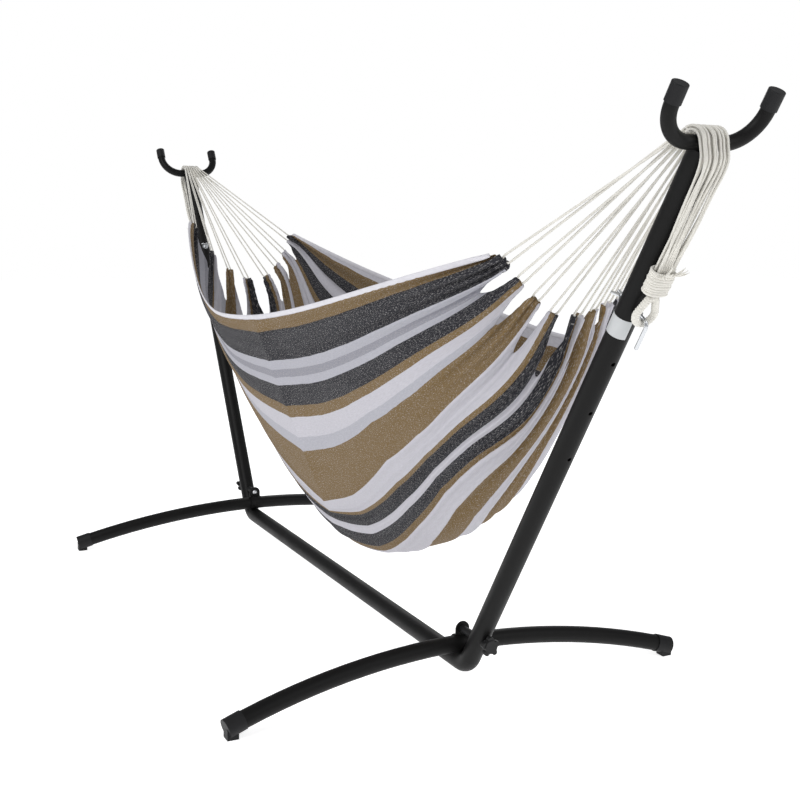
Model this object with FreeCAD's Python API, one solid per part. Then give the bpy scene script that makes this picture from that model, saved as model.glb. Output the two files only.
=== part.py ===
"""Double hammock on a knock-down steel stand.

Frame: X runs along the centre beam (near end at +X), Y across, Z up.
The origin is on the floor, under the middle of the beam.  Millimetres.
Everything is symmetrical end for end, so one end is modelled and turned
half a turn about Z to make the other.
"""
import FreeCAD, Part
import math
import os

V = FreeCAD.Vector

# ---- driving dimensions ------------------------------------------------------

MAIN_OD = 46.0            # beam and upright tube
LEG_OD = 40.0             # arched base leg
HORN_OD = 26.0            # U-shaped horn at the top of each upright
TUBE_WALL = 1.6

BEAM_Z = 65.5             # height of the beam axis
HUB_X = 730.0             # where the upright's axis meets the beam's
LEAN = 59.1               # upright's angle above the floor, degrees
ELBOW_R = 52.0            # centre-line radius of the bend under the leg
BEAM_HALF = 622.0         # the beam tube ends here; the elbow's stub runs inside it
STUB_DEPTH = 120.0        # length of the stub inside the beam
STUB_GAP = 0.3

HORN_AT = 1358.0          # along the upright, from the hub, to the horn's axis
HORN_HALF = 101.0         # half the width between the horn's two arms
HORN_BEND = 66.0
HORN_ARM = 32.0           # straight top of each arm, under its cap
HORN_CAP_OD = 30.0
HORN_CAP_LONG = 34.0
WELD_BACK = 10.0          # the upright's tube ends this far short of the horn's axis
SADDLE_HALF = 60.0        # half the length of the cut that the horn lies in
CAP_TOP = 3.0             # thickness of a cap's closed end
CAP_EDGE = 1.6            # rounding of a horn cap's rim
CAP_FIT = 0.2             # a cap's bore is this much wider than its tube

LEG_GAP = 0.3
LEG_HALF = 590.0          # half the spread of the leg tube
LEG_SPLAY = 35.0          # the leg's ends stand this much further out than its crown
LEG_END_Z = 23.0
LEG_CAP_OD = 44.0
LEG_CAP_LONG = 42.0
PAD_WIDE = 26.0           # flat pad under each foot cap
PAD_SHARE = 0.62          # its length as a share of the cap's
PAD_BACK = 10.0           # how far its middle stands in from the leg's end

BOLT_D = 8.0
BOLT_CLEAR = 0.08
CLAMP_Z = 144.0           # the clamp bolt passes just above the leg
HEAD_R = 9.5              # of the carriage bolt's domed head
HEAD_HIGH = 4.0
STRAP_THICK = 3.0
STRAP_WIDE = 36.0
STRAP_FIT = 0.25          # gap round the leg
STRAP_LIP = 13.0          # how far the strap reaches below the leg's axis
SLEEVE_OD = 18.0
WASHER_OD = 22.0
WASHER_LONG = 10.5        # from the upright's face to the knob
KNOB_OD = 46.0
KNOB_THICK = 18.0
KNOB_LOBES = 5
LOBE_R = 6.5
INSERT_OD = 14.0

HOLE_D = 9.0
HOLE_STEP = 120.0
HOLE_FIRST = 670.0        # along the upright
HOLE_COUNT = 4            # the hook bolt is in the top one
ROD_D = 8.0
HOOK_OUT = 58.0           # from the upright's axis to the hook's hanging leg
HOOK_BEND = 12.0
HOOK_DROP = 42.0
ROD_TAIL = 21.0           # how far the rod stands out of the upright's inner side
NUT_FLATS = 13.0
NUT_HIGH = 5.5
WASHER_THICK = 1.8
WING_REACH = 15.0         # how far each ear of the wing nut stands out
WING_THICK = 3.0
LABEL_LOW = 62.0          # below the hook bolt, along the upright
LABEL_HIGH = 22.0

BUNDLE_WIDE = 62.0        # of the gathered strings, over the horn
BUNDLE_NECK = 38.0        # and where they are whipped together
BUNDLE_THICK = 18.0
BUNDLE_OUT = 39.0         # from the upright's axis to the bundle's, on its way down
BUNDLE_BEND = 25.0
BUNDLE_END = 1083.5       # along the upright
WRAP_OFF = 50.0           # where the bundle leaves the horn, degrees above square to the upright
WHIP_WALL = 3.2
WHIP_LONG = 50.0
EYE_ROD = 12.0            # thickness of the whipped rope eye
EYE_OUT = 42.0            # from the upright's axis to the eye's plane
EYE_R = 20.0              # radii of the eye's two ends
EYE_TOP_R = 9.0

STRING_D = 4.6
STRING_LOOPS = 8          # doubled strings, one through each loop of the cloth
STRING_PITCH = 7.0        # between strings where they meet the horn
STRING_SPREAD = 9.0       # half the distance between a string's two legs at its loop
STRING_TURN = 8.0         # radius of each corner where it passes through the loop
STRING_REACH = 6.0        # the string's turn stands this far out of the cloth
LOOP_SPREAD = 0.8         # under 1 sets the loops nearer the hems
STRING_ROOTS = (11.5, 4.0)  # heights of the two legs above the fan's root
FAN_X = 1406.0            # the strings leave the rope bundle at this plane
FAN_GAP = 3.0             # between the strings' ends and the bundle, so that they can sway
FAN_SLOPE = 36.0          # mean slope of the strings, degrees

CLOTH_THICK = 4.0
CLOTH_SHIFT = 80.0        # the bed hangs this much nearer the near end
CLOTH_HALF = 980.0        # half the length along a hem
CLOTH_BELLY = 20.0        # the middle of each end reaches this much further
HEM_Y = 300.0             # half the width between the hems at mid length
TAPER_NEAR = 150.0        # how much narrower half of each end is
TAPER_FAR = 105.0
DRIFT_NEAR = -20.0        # how much nearer the back the middle of each end is
DRIFT_FAR = 20.0
LEAN_FAR = 70.0           # and the far end's lowest point, further still
FRONT_LOW = 812.0         # lowest point of the front hem
FRONT_LOW_AT = -0.3       # and where it is, from -1 at the far end to 1 at the near end
FRONT_NEAR = 223.0        # rise of the front hem to its near end
FRONT_FAR = 278.0         # and to its far end
BACK_LOW = 866.0
BACK_NEAR = (81.0, 5.0)   # rise of the back hem to its near end, and its power
BACK_FAR = (154.0, 1.6)
BACK_DIP = 340.0          # sets how far the back hem dips on the near half
FLOOR_Z = 195.0           # lowest line of the cloth at mid length
END_LOW_NEAR = 903.0      # lowest point of each gathered end
END_LOW_FAR = 850.0
BAG_NEAR = (0.75, 2.1, 6)   # share and powers of the bottom's rise to each end
BAG_FAR = (0.55, 1.5, 8)
TAPER_LATE = 4            # power of the near half's narrowing
BACK_FULL = 0.9           # how far the back of the near half fills out
BACK_ROUND = 4            # and the power of that fullness
END_OPEN = 1.6            # powers of the curve between the hems at each end
END_DEEP = 2.5            # and on the front of the far end, which hangs fuller
TROUGH_ROUND = 0.2        # roundness of the V that the cloth hangs in at mid length
FRONT_POWERS = (1.7, 2)   # of the front hem's rise to the near end and the far end
STATIONS = 20
STOPS = (-1, -0.88, -0.7, -0.4, 0, 0.4, 0.7, 0.88, 1)   # across each section

# ---- places worked out from them ---------------------------------------------

LEAN_RAD = math.radians(LEAN)
UP = V(math.cos(LEAN_RAD), 0, math.sin(LEAN_RAD))
OUT = V(math.sin(LEAN_RAD), 0, -math.cos(LEAN_RAD))
HUB = V(HUB_X, 0, BEAM_Z)
ELBOW_TANGENT = ELBOW_R * math.tan(LEAN_RAD / 2)
LEG_X = HUB_X - ELBOW_TANGENT
LEG_Z = BEAM_Z + MAIN_OD / 2 + LEG_OD / 2 + LEG_GAP
HOOK_AT = HOLE_FIRST + HOLE_STEP * (HOLE_COUNT - 1)
Y_AXIS = V(0, 1, 0)
X_AXIS = V(1, 0, 0)
STRAP_FACE = LEG_X + STRAP_THICK       # outer face of the strap's upright tab
CLAMP_AXIS_X = HUB_X + (CLAMP_Z - BEAM_Z) / math.tan(LEAN_RAD)
KNOB_X = CLAMP_AXIS_X + MAIN_OD / 2 / math.sin(LEAN_RAD) + WASHER_LONG
WING_FACE = -MAIN_OD / 2 - 2.4
WRAP_R = HORN_OD / 2 + BUNDLE_THICK / 2 + 0.3
WHIP_TOP = BUNDLE_END + 1 + WHIP_LONG
EYE_LOW = HOOK_AT - ROD_D / 2 - EYE_ROD / 2 - 0.3
FAN_RAD = math.radians(FAN_SLOPE)
FAN_WAY = V(-math.cos(FAN_RAD), 0, -math.sin(FAN_RAD))


def on_upright(along, out=0.0, across=0.0):
    """A point given along the near upright, outward from it and across it."""
    return HUB + UP * along + OUT * out + Y_AXIS * across


HORN = on_upright(HORN_AT)
LEAVE = HORN + V(-math.sin(FAN_RAD), 0, math.cos(FAN_RAD)) * WRAP_R


# ---- helpers -----------------------------------------------------------------

def rod(start, end, diameter):
    """A round bar between two points."""
    axis = end - start
    return Part.makeCylinder(diameter / 2, axis.Length, start, axis)


def rounded_path(points, radii):
    """Straight runs joined by tangent arcs, one radius per inner point."""
    edges = []
    last = points[0]
    for before, corner, after, radius in zip(points, points[1:], points[2:], radii):
        back = (before - corner).normalize()
        on = (after - corner).normalize()
        half_open = back.getAngle(on) / 2
        reach = radius / math.tan(half_open)
        first = corner + back * reach
        second = corner + on * reach
        middle_way = (back + on).normalize()
        centre = corner + middle_way * (radius / math.sin(half_open))
        middle = centre - middle_way * radius
        if (first - last).Length > 1e-6:
            edges.append(Part.LineSegment(last, first).toShape())
        edges.append(Part.Arc(first, middle, second).toShape())
        last = second
    edges.append(Part.LineSegment(last, points[-1]).toShape())
    return Part.Wire(edges)


def swept(path, diameter):
    """A solid round bar along a path."""
    start = path.Edges[0]
    place = start.valueAt(start.FirstParameter)
    along = start.tangentAt(start.FirstParameter)
    ring = Part.Wire([Part.makeCircle(diameter / 2, place, along)])
    return path.makePipeShell([ring], True, True)


def pipe(path, outer, wall):
    """A hollow tube along a path."""
    return swept(path, outer).cut(swept(path, outer - 2 * wall))


def turned(shape):
    """The same piece at the far end of the stand."""
    copy = shape.copy()
    copy.rotate(V(0, 0, 0), V(0, 0, 1), 180)
    return copy


def hexagon(centre, axis, across_flats, height):
    """A hexagonal prism."""
    side = across_flats / math.sqrt(3)
    aside = axis.cross(Y_AXIS).normalize()
    corners = []
    for step in range(7):
        angle = math.radians(60 * step)
        corners.append(centre + aside * (side * math.cos(angle)) + Y_AXIS * (side * math.sin(angle)))
    return Part.Face(Part.makePolygon(corners)).extrude(axis * height)


# ---- steel frame -------------------------------------------------------------

def centre_beam():
    end = V(BEAM_HALF, 0, BEAM_Z)
    start = V(-BEAM_HALF, 0, BEAM_Z)
    return rod(start, end, MAIN_OD).cut(rod(start, end, MAIN_OD - 2 * TUBE_WALL))


def horn_path():
    bottom_left = on_upright(HORN_AT, 0, -HORN_HALF)
    bottom_right = on_upright(HORN_AT, 0, HORN_HALF)
    rise = UP * (HORN_BEND + HORN_ARM)
    points = [bottom_left + rise, bottom_left, bottom_right, bottom_right + rise]
    return rounded_path(points, [HORN_BEND, HORN_BEND])


def horn_tube():
    return pipe(horn_path(), HORN_OD, TUBE_WALL)


def horn_caps():
    """Moulded caps pushed over the two arms of a horn."""
    caps = []
    for side in (-1, 1):
        top = on_upright(HORN_AT + HORN_BEND + HORN_ARM, 0, side * HORN_HALF)
        skirt_foot = top - UP * (HORN_CAP_LONG - CAP_TOP)
        crown = top + UP * CAP_TOP
        body = rod(skirt_foot, crown, HORN_CAP_OD)
        rim = [edge for edge in body.Edges if abs((edge.CenterOfMass - crown).Length) < 1e-3]
        body = body.makeFillet(CAP_EDGE, rim)
        caps.append(body.cut(rod(skirt_foot, top, HORN_OD + CAP_FIT)))
    return Part.makeCompound(caps)


def upright():
    """Elbow, leaning tube and swaged stub, bent from one length of tube."""
    top = on_upright(HORN_AT - WELD_BACK)
    inner_end = V(BEAM_HALF + 0.5, 0, BEAM_Z)
    body = pipe(rounded_path([inner_end, HUB, top], [ELBOW_R]), MAIN_OD, TUBE_WALL)
    stub_od = MAIN_OD - 2 * TUBE_WALL - 2 * STUB_GAP
    stub_start = V(BEAM_HALF - STUB_DEPTH, 0, BEAM_Z)
    stub_end = inner_end + X_AXIS * TUBE_WALL
    stub = rod(stub_start, stub_end, stub_od)
    stub = stub.cut(rod(stub_start, stub_end, stub_od - 2 * TUBE_WALL))
    shoulder = rod(inner_end, stub_end, MAIN_OD - TUBE_WALL).cut(
        rod(inner_end, stub_end, stub_od - 2 * TUBE_WALL))
    body = body.fuse([stub, shoulder]).removeSplitter()
    saddle = rod(on_upright(HORN_AT, 0, -SADDLE_HALF), on_upright(HORN_AT, 0, SADDLE_HALF), HORN_OD + 0.2)
    cuts = [saddle, clamp_hole()]
    for index in range(HOLE_COUNT):
        along = HOLE_FIRST + HOLE_STEP * index
        cuts.append(rod(on_upright(along, -40), on_upright(along, 40), HOLE_D))
    return body.cut(cuts)


def base_leg():
    """A shallow arch from foot to foot, its crown resting on the elbow's stub."""
    left = V(LEG_X + LEG_SPLAY, -LEG_HALF, LEG_END_Z)
    crown = V(LEG_X, 0, LEG_Z)
    right = V(LEG_X + LEG_SPLAY, LEG_HALF, LEG_END_Z)
    path = Part.Wire([Part.Arc(left, crown, right).toShape()])
    return path, pipe(path, LEG_OD, TUBE_WALL)


def leg_end_caps():
    """Ribbed plastic feet with a flat pad that stands on the floor."""
    path = base_leg()[0]
    edge = path.Edges[0]
    feet = []
    ends = ((edge.FirstParameter, -1), (edge.LastParameter, 1))
    for at, sense in ends:
        place = edge.valueAt(at)
        outward = edge.tangentAt(at) * sense
        outward.normalize()
        tip = place + outward * CAP_TOP
        heel = tip - outward * LEG_CAP_LONG
        body = rod(heel, tip, LEG_CAP_OD)
        pad_length = LEG_CAP_LONG * PAD_SHARE
        pad = Part.makeBox(PAD_WIDE, pad_length, LEG_END_Z)
        pad.translate(V(place.x - PAD_WIDE / 2, place.y - pad_length / 2 - sense * PAD_BACK, 0))
        body = body.fuse(pad)
        below = Part.makeBox(200, 200, 100, V(place.x - 100, place.y - 100, -100))
        body = body.cut([below, rod(heel, place, LEG_OD + CAP_FIT)])
        bore = swept(path, LEG_OD + 2 * CAP_FIT)
        body = body.cut(bore)
        feet.append(body)
    return Part.makeCompound(feet)


# ---- clamp at the hub --------------------------------------------------------

def clamp_hole():
    """Clearance for the clamp bolt, through strap, sleeve, upright and washer."""
    return rod(V(LEG_X - 20, 0, CLAMP_Z), V(HUB_X + 120, 0, CLAMP_Z), BOLT_D + 2 * BOLT_CLEAR)


def clamp_strap():
    """A bent strap that hooks round the inner side of the leg."""
    inner = LEG_OD / 2 + STRAP_FIT
    outer = inner + STRAP_THICK
    centre = V(LEG_X, -STRAP_WIDE / 2, LEG_Z)
    ring = Part.makeCylinder(outer, STRAP_WIDE, centre, Y_AXIS)
    ring = ring.cut(Part.makeCylinder(inner, STRAP_WIDE, centre, Y_AXIS))
    keep = Part.makeBox(60, STRAP_WIDE, 60, V(LEG_X + STRAP_THICK - 60, -STRAP_WIDE / 2, LEG_Z - STRAP_LIP))
    hook = ring.common(keep)
    foot = V(LEG_X, 0, LEG_Z + inner + 0.5)
    tab_low = Part.makeBox(STRAP_THICK, STRAP_WIDE, CLAMP_Z - foot.z, V(LEG_X, -STRAP_WIDE / 2, foot.z))
    tab_top = Part.makeCylinder(STRAP_WIDE / 2, STRAP_THICK, V(LEG_X, 0, CLAMP_Z), X_AXIS)
    tab_top = tab_top.common(Part.makeBox(STRAP_THICK, STRAP_WIDE, 40, V(LEG_X, -STRAP_WIDE / 2, foot.z)))
    strap = hook.fuse([tab_low, tab_top]).removeSplitter()
    return strap.cut(clamp_hole())


def upright_body():
    """The outside of the leaning tube, used to shape what bears on it."""
    return rod(on_upright(-10), on_upright(300), MAIN_OD + 0.2)


def clamp_sleeve():
    """Spacer between the strap's tab and the upright, cut to the tube's curve."""
    end = V(CLAMP_AXIS_X, 0, CLAMP_Z)
    start = V(STRAP_FACE + 0.1, 0, CLAMP_Z)
    sleeve = rod(start, end, SLEEVE_OD).cut(upright_body())
    return sleeve.cut(clamp_hole())


def clamp_washer():
    """Wedge washer that gives the knob a square face on the leaning tube."""
    start = V(CLAMP_AXIS_X, 0, CLAMP_Z)
    end = V(KNOB_X, 0, CLAMP_Z)
    washer = rod(start, end, WASHER_OD).cut(upright_body())
    return washer.cut(clamp_hole())


def clamp_bolt():
    """Carriage bolt, its domed head on the strap."""
    head_face = LEG_X - 0.1
    shank = rod(V(head_face, 0, CLAMP_Z), V(KNOB_X + KNOB_THICK - 4, 0, CLAMP_Z), BOLT_D)
    dome = Part.makeSphere(HEAD_R, V(head_face + HEAD_R - HEAD_HIGH, 0, CLAMP_Z))
    trim = Part.makeBox(30, 40, 40, V(head_face - 30, -20, CLAMP_Z - 20))
    return shank.fuse(dome.common(trim)).removeSplitter()


def star_knob():
    """Moulded knob with rounded lobes and a hub boss."""
    face = V(KNOB_X + 0.3, 0, CLAMP_Z)
    body = Part.makeCylinder(KNOB_OD * 0.33, KNOB_THICK, face, X_AXIS)
    lobes = []
    for index in range(KNOB_LOBES):
        angle = 2 * math.pi * index / KNOB_LOBES + math.pi / 2
        reach = KNOB_OD / 2 - LOBE_R
        place = face + V(4, reach * math.cos(angle), reach * math.sin(angle))
        lobes.append(Part.makeCylinder(LOBE_R, KNOB_THICK - 6, place, X_AXIS))
    body = body.fuse(lobes).removeSplitter()
    return body.cut(rod(face, face + X_AXIS * (KNOB_THICK - 3), INSERT_OD + 0.2))


def knob_insert():
    """Threaded metal bush moulded into the knob."""
    face = V(KNOB_X + 0.5, 0, CLAMP_Z)
    bush = rod(face, face + X_AXIS * (KNOB_THICK - 5), INSERT_OD)
    return bush.cut(rod(face, face + X_AXIS * KNOB_THICK, BOLT_D + 2 * BOLT_CLEAR))


# ---- hook bolt ---------------------------------------------------------------

def hook_bolt():
    """J-shaped rod through the top adjustment hole; its leg hangs down."""
    inner = on_upright(HOOK_AT, -MAIN_OD / 2 - ROD_TAIL)
    corner = on_upright(HOOK_AT, HOOK_OUT)
    tip = on_upright(HOOK_AT - HOOK_BEND - HOOK_DROP, HOOK_OUT)
    bar = swept(rounded_path([inner, corner, tip], [HOOK_BEND]), ROD_D)
    return bar.fuse(Part.makeSphere(ROD_D / 2, tip)).removeSplitter()


def rod_bore():
    """Clearance for the hook bolt's shank, through whatever it carries."""
    return rod(on_upright(HOOK_AT, -80), on_upright(HOOK_AT, 80), ROD_D + 2 * BOLT_CLEAR)


def hook_nut():
    face = on_upright(HOOK_AT, MAIN_OD / 2 + 2.2)
    return hexagon(face, OUT, NUT_FLATS, NUT_HIGH).cut(rod_bore())


def hook_washers():
    rings = []
    for start in (MAIN_OD / 2 + 0.2, -MAIN_OD / 2 - 0.2 - WASHER_THICK):
        face = on_upright(HOOK_AT, start)
        rings.append(rod(face, face + OUT * WASHER_THICK, WASHER_OD).cut(rod_bore()))
    return Part.makeCompound(rings)


def wing_nut():
    """A boss with two ears standing across the rod."""
    face = on_upright(HOOK_AT, WING_FACE)
    boss = Part.makeCone(8.0, 6.0, 9.0, face, OUT * -1)
    ears = []
    for side in (-1, 1):
        root = on_upright(HOOK_AT, WING_FACE - 6, side * 6)
        tip = on_upright(HOOK_AT, WING_FACE - WING_REACH, side * WING_REACH)
        blade = rod(root, tip, 9.0).fuse(Part.makeSphere(4.5, tip))
        slab = Part.makeBox(60, 60, WING_THICK, V(-30, -30, -WING_THICK / 2))
        slab.rotate(V(0, 0, 0), Y_AXIS, 90 - LEAN)
        slab.translate(root)
        ears.append(blade.common(slab))
    return boss.fuse(ears).removeSplitter().cut(rod_bore())


def blank_label():
    """A plain sticker wrapped half round the upright under the hook."""
    low = on_upright(HOOK_AT - LABEL_LOW)
    high = on_upright(HOOK_AT - LABEL_HIGH)
    ring = rod(low, high, MAIN_OD + 0.8).cut(rod(low, high, MAIN_OD + 0.2))
    half = Part.makeBox(200, 60, 200, (low + high) / 2 - V(100, 60, 100))
    return ring.common(half)


# ---- rope over the horn ------------------------------------------------------

def oblong(place, along, wide, thick):
    """A rounded oblong outline, square to a direction in the XZ plane."""
    side = along.cross(Y_AXIS).normalize()
    radius = thick / 2 - 0.01
    flat = wide / 2 - radius
    lower = place - side * radius
    upper = place + side * radius
    edges = [
        Part.LineSegment(lower - Y_AXIS * flat, lower + Y_AXIS * flat).toShape(),
        Part.Arc(lower + Y_AXIS * flat, place + Y_AXIS * wide / 2, upper + Y_AXIS * flat).toShape(),
        Part.LineSegment(upper + Y_AXIS * flat, upper - Y_AXIS * flat).toShape(),
        Part.Arc(upper - Y_AXIS * flat, place - Y_AXIS * wide / 2, lower - Y_AXIS * flat).toShape(),
    ]
    return Part.Wire(edges)


def bundle_path():
    """From the fan, over the horn's tube and clear of the upright's top edge."""
    fan_end = LEAVE + FAN_WAY * ((LEAVE.x - FAN_X + 20) / math.cos(FAN_RAD))
    off = math.radians(WRAP_OFF)
    arrive = HORN + (OUT * math.cos(off) + UP * math.sin(off)) * WRAP_R
    crown = HORN + ((LEAVE - HORN).normalize() + (arrive - HORN).normalize()).normalize() * WRAP_R
    off_way = OUT * math.sin(off) - UP * math.cos(off)
    corner = arrive + off_way * ((BUNDLE_OUT - WRAP_R * math.cos(off)) / math.sin(off))
    tail = rounded_path([arrive, corner, corner - UP * 40], [BUNDLE_BEND])
    head = [Part.LineSegment(fan_end, LEAVE).toShape(), Part.Arc(LEAVE, crown, arrive).toShape()]
    return Part.Wire(head + tail.Edges)


def rope_bundle():
    """The gathered strings, as the outside of the whole bundle."""
    path = bundle_path()
    first = path.Edges[0]
    start = oblong(first.valueAt(first.FirstParameter), FAN_WAY * -1, BUNDLE_WIDE, BUNDLE_THICK)
    over = path.makePipeShell([start], True, True)
    fan_side = Part.makeBox(200, 200, 200, V(FAN_X + FAN_GAP - 200, -100, HORN.z - 20))
    end = path.Vertexes[-1].Point
    neck = on_upright(WHIP_TOP + 8, BUNDLE_OUT)
    foot = on_upright(BUNDLE_END, BUNDLE_OUT)
    down = UP * -1
    outlines = [oblong(end, down, BUNDLE_WIDE, BUNDLE_THICK)]
    for place in (neck, foot):
        outlines.append(oblong(place, down, BUNDLE_NECK, BUNDLE_THICK))
    return over.cut(fan_side).fuse(Part.makeLoft(outlines, True, True)).removeSplitter()


def whipping():
    """Cord wound round the bundle above the eye."""
    low = on_upright(BUNDLE_END + 1, BUNDLE_OUT)
    high = on_upright(WHIP_TOP, BUNDLE_OUT)
    shapes = []
    for grow in (2 * WHIP_WALL, 0.4):
        ends = [oblong(place, UP, BUNDLE_NECK + grow, BUNDLE_THICK + grow) for place in (low, high)]
        shapes.append(Part.makeLoft(ends, True, True))
    return shapes[0].cut(shapes[1])


def rope_eye():
    """Whipped teardrop eye, its plane across the hook's shank."""
    low = EYE_LOW + EYE_R
    high = BUNDLE_END - 0.5 - EYE_ROD / 2 - EYE_TOP_R
    tilt = math.asin((EYE_R - EYE_TOP_R) / (high - low))

    def at(centre, radius, angle):
        return on_upright(centre + radius * math.sin(angle), EYE_OUT, radius * math.cos(angle))

    bottom = Part.Arc(at(low, EYE_R, tilt), at(low, EYE_R, -math.pi / 2), at(low, EYE_R, math.pi - tilt))
    left = Part.LineSegment(at(low, EYE_R, math.pi - tilt), at(high, EYE_TOP_R, math.pi - tilt))
    top = Part.Arc(at(high, EYE_TOP_R, math.pi - tilt), at(high, EYE_TOP_R, math.pi / 2),
                   at(high, EYE_TOP_R, tilt))
    right = Part.LineSegment(at(high, EYE_TOP_R, tilt), at(low, EYE_R, tilt))
    pieces = []
    for curve in (bottom, left, top, right):
        wire = Part.Wire([curve.toShape()])
        pieces.append(swept(wire, EYE_ROD))
    return pieces[0].fuse(pieces[1:]).removeSplitter()


# ---- hammock bed -------------------------------------------------------------

def trough(u):
    """Front hem, back hem and lowest height of the cloth at u, from -1 to 1."""
    size = abs(u)
    if u > FRONT_LOW_AT:
        front = FRONT_LOW + FRONT_NEAR * ((u - FRONT_LOW_AT) / (1 - FRONT_LOW_AT)) ** FRONT_POWERS[0]
    else:
        front = FRONT_LOW + FRONT_FAR * ((FRONT_LOW_AT - u) / (1 + FRONT_LOW_AT)) ** FRONT_POWERS[1]
    rise, power = BACK_NEAR if u > 0 else BACK_FAR
    back = BACK_LOW + rise * size ** power
    if u > 0:
        back -= BACK_DIP * u ** 2 * (1 - u)
    end_low = END_LOW_NEAR if u > 0 else END_LOW_FAR
    share, slow, fast = BAG_NEAR if u > 0 else BAG_FAR
    low = FLOOR_Z + (end_low - FLOOR_Z) * (share * size ** slow + (1 - share) * size ** fast)
    return front, back, low


def cloth_point(u, v, inset=0.0):
    """A point of the cloth; v runs from the front hem (-1) to the back hem (1).

    The section is a V at mid length and opens towards each gathered end.
    """
    front, back, low = trough(u)
    hem = front if v < 0 else back
    side = (math.hypot(v, TROUGH_ROUND) - TROUGH_ROUND) / (math.hypot(1, TROUGH_ROUND) - TROUGH_ROUND)
    power = END_DEEP if u < 0 and v < 0 else END_OPEN
    share = side * (1 - u ** 2) + abs(v) ** power * u ** 2
    full = BACK_FULL * 4 * u * (1 - u) if u > 0 and v > 0 else 0
    share += (abs(v) ** BACK_ROUND - share) * full
    height = low + inset + (hem - low - inset) * share
    narrowing = TAPER_NEAR * u ** TAPER_LATE if u > 0 else TAPER_FAR * u ** 2
    half = HEM_Y - narrowing - inset
    middle = DRIFT_NEAR * u ** 2
    if u < 0:
        middle = (DRIFT_FAR + LEAN_FAR * (1 - v ** 2)) * u ** 2
    reach = CLOTH_HALF + CLOTH_BELLY * (front - height) / (front - low)
    return V(CLOTH_SHIFT + u * reach, middle + v * half, height)


def cloth_section(u):
    """The closed outline of the cloth at u."""
    outer = Part.BSplineCurve()
    outer.interpolate([cloth_point(u, v) for v in STOPS])
    inner = Part.BSplineCurve()
    inner.interpolate([cloth_point(u, v, CLOTH_THICK) for v in reversed(STOPS)])
    right_hem = Part.LineSegment(cloth_point(u, 1), cloth_point(u, 1, CLOTH_THICK))
    left_hem = Part.LineSegment(cloth_point(u, -1, CLOTH_THICK), cloth_point(u, -1))
    return Part.Wire([part.toShape() for part in (outer, right_hem, inner, left_hem)])


def hammock_cloth():
    """The bed as one thin trough, open above."""
    sections = []
    for index in range(STATIONS + 1):
        level = 2.0 * index / STATIONS - 1
        u = math.sin(level * math.pi / 2)
        sections.append(cloth_section(u))
    return Part.makeLoft(sections, True, True)


def loop_place(end, index):
    """Where a loop at one end of the cloth holds its string; end is 1 near, -1 far."""
    v = 2.0 * (index + 0.5) / STRING_LOOPS - 1
    return cloth_point(end, math.copysign(abs(v) ** LOOP_SPREAD, v), CLOTH_THICK / 2)


def suspension_strings(end):
    """One doubled string per loop, fanning out from the horn."""
    root = LEAVE + FAN_WAY * ((LEAVE.x - FAN_X) / math.cos(FAN_RAD))
    places = [loop_place(end, index) for index in range(STRING_LOOPS)]
    strings = []
    lengths = []
    for index, place in enumerate(places):
        before = places[max(index - 1, 0)]
        after = places[min(index + 1, STRING_LOOPS - 1)]
        aside = (after - before).normalize() * STRING_SPREAD
        across = index - (STRING_LOOPS - 1) / 2
        if end < 0:
            place = V(-place.x, -place.y, place.z)
            aside = V(-aside.x, -aside.y, aside.z)
            across = -across
        base = root + Y_AXIS * (across * STRING_PITCH)
        way = (base - place).normalize()
        turn = place + way * STRING_REACH
        high, low = [base + V(0, 0, rise) for rise in STRING_ROOTS]
        path = rounded_path([high, turn + aside, turn - aside, low], [STRING_TURN, STRING_TURN])
        string = swept(path, STRING_D)
        measured = string.Volume / (math.pi * STRING_D ** 2 / 4)
        lengths.append(round(path.Length))
        if abs(measured / path.Length - 1) > 0.01:
            print("string", index, "volume and length disagree", round(measured), round(path.Length))
        strings.append(string)
    print("strings, radii", STRING_TURN, "lengths", lengths)
    return Part.makeCompound(strings)


# ---- write every piece -------------------------------------------------------

def solid_of(shape):
    """Flatten to clean solids."""
    solids = [one for one in shape.Solids]
    if len(solids) == 1:
        return solids[0]
    return Part.makeCompound(solids)


def main():
    os.makedirs("parts", exist_ok=True)
    per_end = {
        "upright": upright(),
        "horn_tube": horn_tube(),
        "horn_caps": horn_caps(),
        "base_leg": base_leg()[1],
        "leg_end_caps": leg_end_caps(),
        "clamp_strap": clamp_strap(),
        "clamp_sleeve": clamp_sleeve(),
        "clamp_washer": clamp_washer(),
        "clamp_bolt": clamp_bolt(),
        "star_knob": star_knob(),
        "knob_insert": knob_insert(),
        "hook_bolt": hook_bolt(),
        "hook_nut": hook_nut(),
        "hook_washers": hook_washers(),
        "wing_nut": wing_nut(),
        "rope_bundle": rope_bundle(),
        "rope_whipping": whipping(),
        "rope_eye": rope_eye(),
    }
    parts = {
        "centre_beam": centre_beam(),
        "blank_label": blank_label(),
        "hammock_cloth": hammock_cloth(),
        "suspension_strings_near": suspension_strings(1),
        "suspension_strings_far": turned(suspension_strings(-1)),
    }
    for name, shape in per_end.items():
        parts[name + "_near"] = shape
        parts[name + "_far"] = turned(shape)
    for name, shape in sorted(parts.items()):
        clean = solid_of(shape)
        box = clean.optimalBoundingBox()
        print(name, len(clean.Solids), clean.isValid(), round(clean.Volume),
              [round(value, 1) for value in (box.XMin, box.XMax, box.YMin, box.YMax, box.ZMin, box.ZMax)])
        clean.exportStep("parts/" + name + ".step")


main()
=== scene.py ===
import bpy
import math
import numpy as np
from mathutils import Matrix


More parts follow.
